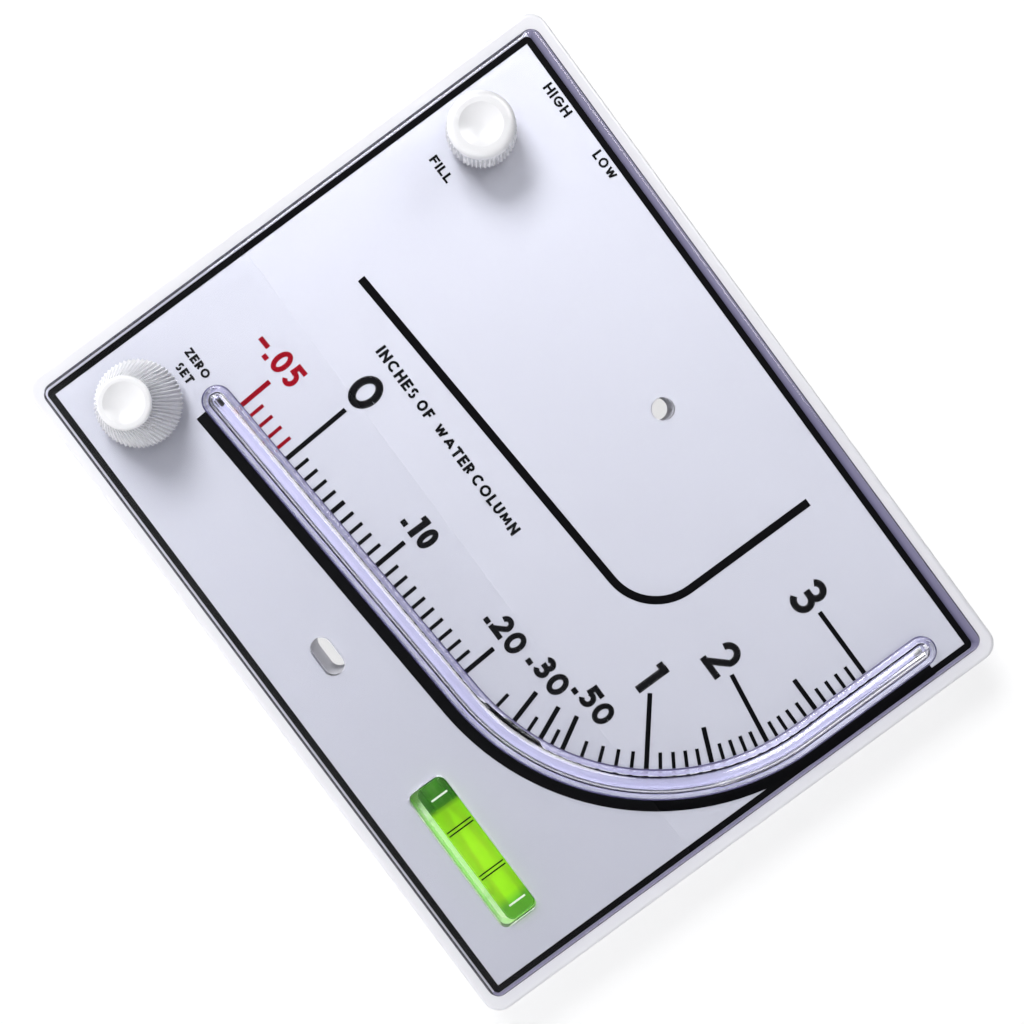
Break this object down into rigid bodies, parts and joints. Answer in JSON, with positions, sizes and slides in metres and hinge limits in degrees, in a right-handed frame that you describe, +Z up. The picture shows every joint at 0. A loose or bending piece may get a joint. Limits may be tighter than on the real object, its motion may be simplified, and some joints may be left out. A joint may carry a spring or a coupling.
{
  "type": "inclined-vertical manometer",
  "caption": "Wall manometer in a flat case, with a clear tube that runs level then upright over a printed scale, a zero knob, a fill plug, a spirit level and pressure sockets.",
  "frame": {"origin": "middle of the case's flat back, which lies on the wall", "axes": "+X to the right along the scale, +Z up, +Y into the wall, so the reader is on the -Y side"},
  "size_m": [0.195, 0.0434, 0.1558],
  "materials": {
    "white_case": "smooth moulded",
    "clear_cover": "clear polished",
    "silver_plate": "satin lacquered",
    "black_ink": "printed",
    "red_ink": "printed",
    "clear_vial": "clear polished",
    "green_plug": "moulded",
    "green_liquid": "liquid",
    "white_knob": "moulded",
    "brass": "turned",
    "inner_plastic": "moulded",
    "rubber": "moulded"
  },
  "bodies": {
    "case": {"rear_housing": "white_case", "front_cover": "clear_cover", "tube_backing": "clear_cover", "scale_plate": "silver_plate", "scale_print_black": "black_ink", "scale_print_red": "red_ink", "level_vial": "clear_vial", "vial_plug": "green_plug", "vial_liquid": "green_liquid", "vial_marks": "black_ink", "zero_set_bushing": "brass", "fill_bushing": "brass", "fill_neck": "inner_plastic", "fill_tube": "inner_plastic", "well_body": "inner_plastic", "well_gasket": "rubber", "well_lid": "inner_plastic", "well_air_tube": "inner_plastic", "pressure_manifold": "inner_plastic", "low_pressure_tube": "inner_plastic", "tube_outlet_block": "inner_plastic", "high_port_fitting": "brass", "low_port_fitting": "brass"},
    "zero_plunger": {"zero_set_plunger": "inner_plastic", "plunger_o_ring": "rubber"},
    "zero_knob": {"zero_set_knob": "white_knob", "zero_set_screw": "brass"},
    "fill_washer": {"fill_plug_washer": "rubber"},
    "fill_plug": {"fill_plug": "white_knob"},
    "high_float": {"high_trap_float": "inner_plastic"},
    "low_float": {"low_trap_float": "inner_plastic"}
  },
  "joints": [
    {"name": "zero_plunger_slide", "type": "slide", "parent": "case", "child": "zero_plunger", "axis": [0, -1, 0], "range_m": [-0.00125, 0.005]},
    {"name": "zero_knob_turn", "type": "hinge", "parent": "zero_plunger", "child": "zero_knob", "pos_m": [-0.0768, -0.022, -0.0567], "axis": [0, -1, 0], "range_deg": [-360, 1440]},
    {"name": "fill_washer_slide", "type": "slide", "parent": "case", "child": "fill_washer", "axis": [0, -1, 0], "range_m": [0, 0.00762]},
    {"name": "fill_plug_turn", "type": "hinge", "parent": "fill_washer", "child": "fill_plug", "pos_m": [-0.0799, -0.022, 0.049], "axis": [0, -1, 0], "range_deg": [0, 2160]},
    {"name": "high_float_lift", "type": "slide", "parent": "case", "child": "high_float", "axis": [0, 0, 1], "range_m": [0, 0.003]},
    {"name": "low_float_lift", "type": "slide", "parent": "case", "child": "low_float", "axis": [0, 0, 1], "range_m": [0, 0.003]}
  ],
  "couplings": [
    {"joint": "zero_plunger_slide", "follows": "zero_knob_turn", "m_per_rad": 0.00019894},
    {"joint": "fill_washer_slide", "follows": "fill_plug_turn", "m_per_rad": 0.00020213}
  ]
}
